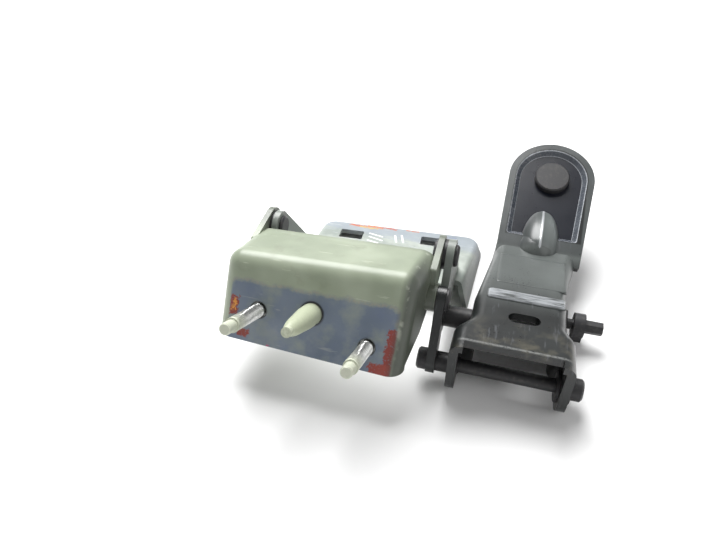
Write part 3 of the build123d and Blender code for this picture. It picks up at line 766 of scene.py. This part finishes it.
def outline_point(angle, at_foot):
    """The farthest point, in one direction, of a loop drawn tight round the three circles."""
    way = Vector((math.cos(angle), math.sin(angle)))
    places = []
    for circle in OUTLINE_CIRCLES.values():
        centre = Vector(circle["centre"])
        if at_foot:
            places.append(centre + Vector(circle["shift"]) + way * circle["foot_radius"])
        else:
            places.append(centre + way * circle["radius"])
    return max(places, key=lambda place: place.dot(way))


def recess_bevel(material):
    """A ring of triangular section that runs round inside the wall of the recess."""
    bm = bmesh.new()
    bmesh.ops.create_circle(bm, segments=BEVEL_STEPS, radius=1.0)
    ring = bm.edges[:]
    angles = {vert: math.atan2(vert.co.y, vert.co.x) for vert in bm.verts}
    first_ring = ring
    for vert, angle in angles.items():
        vert.co = lug_point(*outline_point(angle, False), BEVEL_TOP)
    for at_foot, height in ((True, BEVEL_FOOT), (False, BEVEL_BACK)):
        old = {vert.co.copy().freeze(): angles[vert] for edge in ring for vert in edge.verts}
        made = bmesh.ops.extrude_edge_only(bm, edges=ring)["geom"]
        for vert in (item for item in made if isinstance(item, bmesh.types.BMVert)):
            angles[vert] = old[vert.co.copy().freeze()]
            vert.co = lug_point(*outline_point(angles[vert], at_foot), height)
        ring = [item for item in made if isinstance(item, bmesh.types.BMEdge)]
    bmesh.ops.bridge_loops(bm, edges=first_ring + ring)
    return new_object("recess_bevel", bm, material)


def skin(name, material, grid, shape):
    """A grid from -1 to 1 each way, laid on a form by a formula and given a wall below it."""
    bm = bmesh.new()
    bmesh.ops.create_grid(bm, x_segments=grid[0], y_segments=grid[1], size=1.0)
    for vert in bm.verts:
        vert.co = shape(vert.co.x, vert.co.y)
    bmesh.ops.recalc_face_normals(bm, faces=bm.faces[:])
    if sum((face.normal * face.calc_area() for face in bm.faces), Vector()).z < 0:
        bmesh.ops.reverse_faces(bm, faces=bm.faces[:])
    bmesh.ops.solidify(bm, geom=bm.faces[:], thickness=SKIN_WALL * MM)
    made = new_object(name, bm, material)
    for polygon in made.data.polygons:
        polygon.use_smooth = polygon.normal.z > STEEPEST_SMOOTH
    return made


def gusset_shape(side, rise):
    """A drop: round and high over the bend, narrowing to a point up the lug, with a ridge."""
    along = GUSSET_ENDS[0] + (rise + 1.0) / 2.0 * (GUSSET_ENDS[1] - GUSSET_ENDS[0])
    if along < GUSSET_PEAK:
        fall = (GUSSET_PEAK - along) / GUSSET_FRONT_FALL
    else:
        fall = (along - GUSSET_PEAK) / (GUSSET_ENDS[1] + GUSSET_TIP - GUSSET_PEAK)
    narrow = math.sqrt(max(0.0, 1.0 - fall ** NARROWING))
    half = GUSSET_HALF * narrow
    crown = GUSSET_FLOOR + (GUSSET_TOP - GUSSET_FLOOR) * (1.0 - fall ** CROWNING)
    swell = max(0.0, 1.0 - side * side) ** SWELLING
    ridge = RIDGE_HEIGHT * narrow * max(0.0, 1.0 - abs(side) / RIDGE_HALF)
    height = GUSSET_FLOOR + (crown - GUSSET_FLOOR) * swell + ridge
    return lug_point(GUSSET_MIDDLE + side * half, along, height)


def dish_shape(side, rise):
    """A round hollow that fades to nothing at the sides of its patch."""
    hollow = (1.0 - side * side) ** 2 * (1.0 - rise * rise) ** 2
    across = DISH_CENTRE[0] + side * DISH_HALF[0]
    along = DISH_CENTRE[1] + rise * DISH_HALF[1]
    return plane_point(WEB_ORIGIN, WEB_RUN, WEB_OUT, across, along, DISH_LIFT - DISH_DEPTH * hollow)


def bevel_coat():
    paint = Finish("bevel_coat", IOR=1.5)
    lug_out = paint.along(LUG_ORIGIN, LUG_OUT)
    fine = paint.noise(500.0, detail=3.0)
    cloud = paint.noise(60.0, detail=2.0)
    colour = paint.mix(cloud, rgb(40, 44, 52), rgb(92, 97, 104))
    # Painted highlights, over some rubbed metal, along the top and the foot of the recess wall.
    rim_highlight = lug_out.rise(-0.8 * MM, -0.4 * MM).most(lug_out.rise(-3.0 * MM, -3.3 * MM) * 0.6)
    wear = rim_highlight * (0.4 + cloud * 0.8).clamped()
    paint.set("Base Color", paint.mix(wear, colour, rgb(206, 210, 216)))
    paint.set("Metallic", wear * 0.6)
    paint.set("Roughness", 0.2 + fine * 0.14)
    return paint


def gusset_coat():
    paint = Finish("gusset_coat", IOR=1.5)
    fine = paint.noise(500.0, detail=3.0)
    cloud = paint.noise(60.0, detail=2.0)
    aside = paint.x - GUSSET_MIDDLE * MM
    # Painted shade: the left side of the gusset is darker than the right.
    colour = paint.mix(aside.rise(-6.0 * MM, 5.0 * MM), rgb(58, 62, 62), rgb(96, 101, 100))
    # A painted highlight, over some rubbed metal, runs along the ridge.
    ridge = abs(aside).rise(1.0 * MM, 0.3 * MM) * (0.4 + cloud * 0.8).clamped()
    paint.set("Base Color", paint.mix(ridge, colour, rgb(210, 213, 216)))
    paint.set("Metallic", ridge * 0.7)
    paint.set("Roughness", 0.24 + fine * 0.14)
    return paint


pieces = [
    recess_bevel(bevel_coat().material),
    skin("gusset_skin", gusset_coat().material, GUSSET_GRID, gusset_shape),
    skin("dish_skin", arm_coat.material, (DISH_STEPS, DISH_STEPS), dish_shape),
]
for piece in pieces:
    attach(piece, "lever_arm")
    print(piece.name, len(piece.data.polygons), "faces")

# %% [markdown]
# The rivets, washers, spacers, the pivot pin and the stepped stud are dark steel, scuffed to a
# warm grey in places. The bushes inside the eyes are sintered bronze.

# %% Dark steel and bushes
def dark_steel():
    steel = Finish("dark_steel")
    fine = steel.noise(800.0, detail=4.0)
    scuff = steel.noise(420.0, detail=5.0).rise(0.52, 0.72)
    steel.set("Base Color", steel.mix(scuff * 0.7, rgb(38, 38, 40), rgb(84, 82, 80)))
    steel.set("Roughness", 0.38 + fine * 0.2)
    steel.set("Metallic", scuff * 0.6)
    steel.bump(fine, 0.15, 0.15 * MM)
    return steel


dark_steel().wear(
    "ear_rivet_left", "ear_rivet_right", "ear_washer_left", "ear_washer_right", "link_rivet",
    "arm_rivet", "arm_spacer", "pivot_pin", "pin_washer_inner", "pin_washer_outer", "link_spacer",
    "stepped_stud", "stud_clip", "lug_rivet", "lug_washer",
)


def bush_metal():
    metal = Finish("bush_metal", Metallic=1.0)
    fine = metal.noise(700.0, detail=3.0)
    metal.set("Base Color", metal.mix(fine, rgb(120, 96, 60), rgb(160, 132, 84)))
    metal.set("Roughness", 0.35 + fine * 0.2)
    return metal


bush_metal().wear("ear_bush_left", "ear_bush_right", "link_bush_upper", "link_bush_lower", "arm_bush")
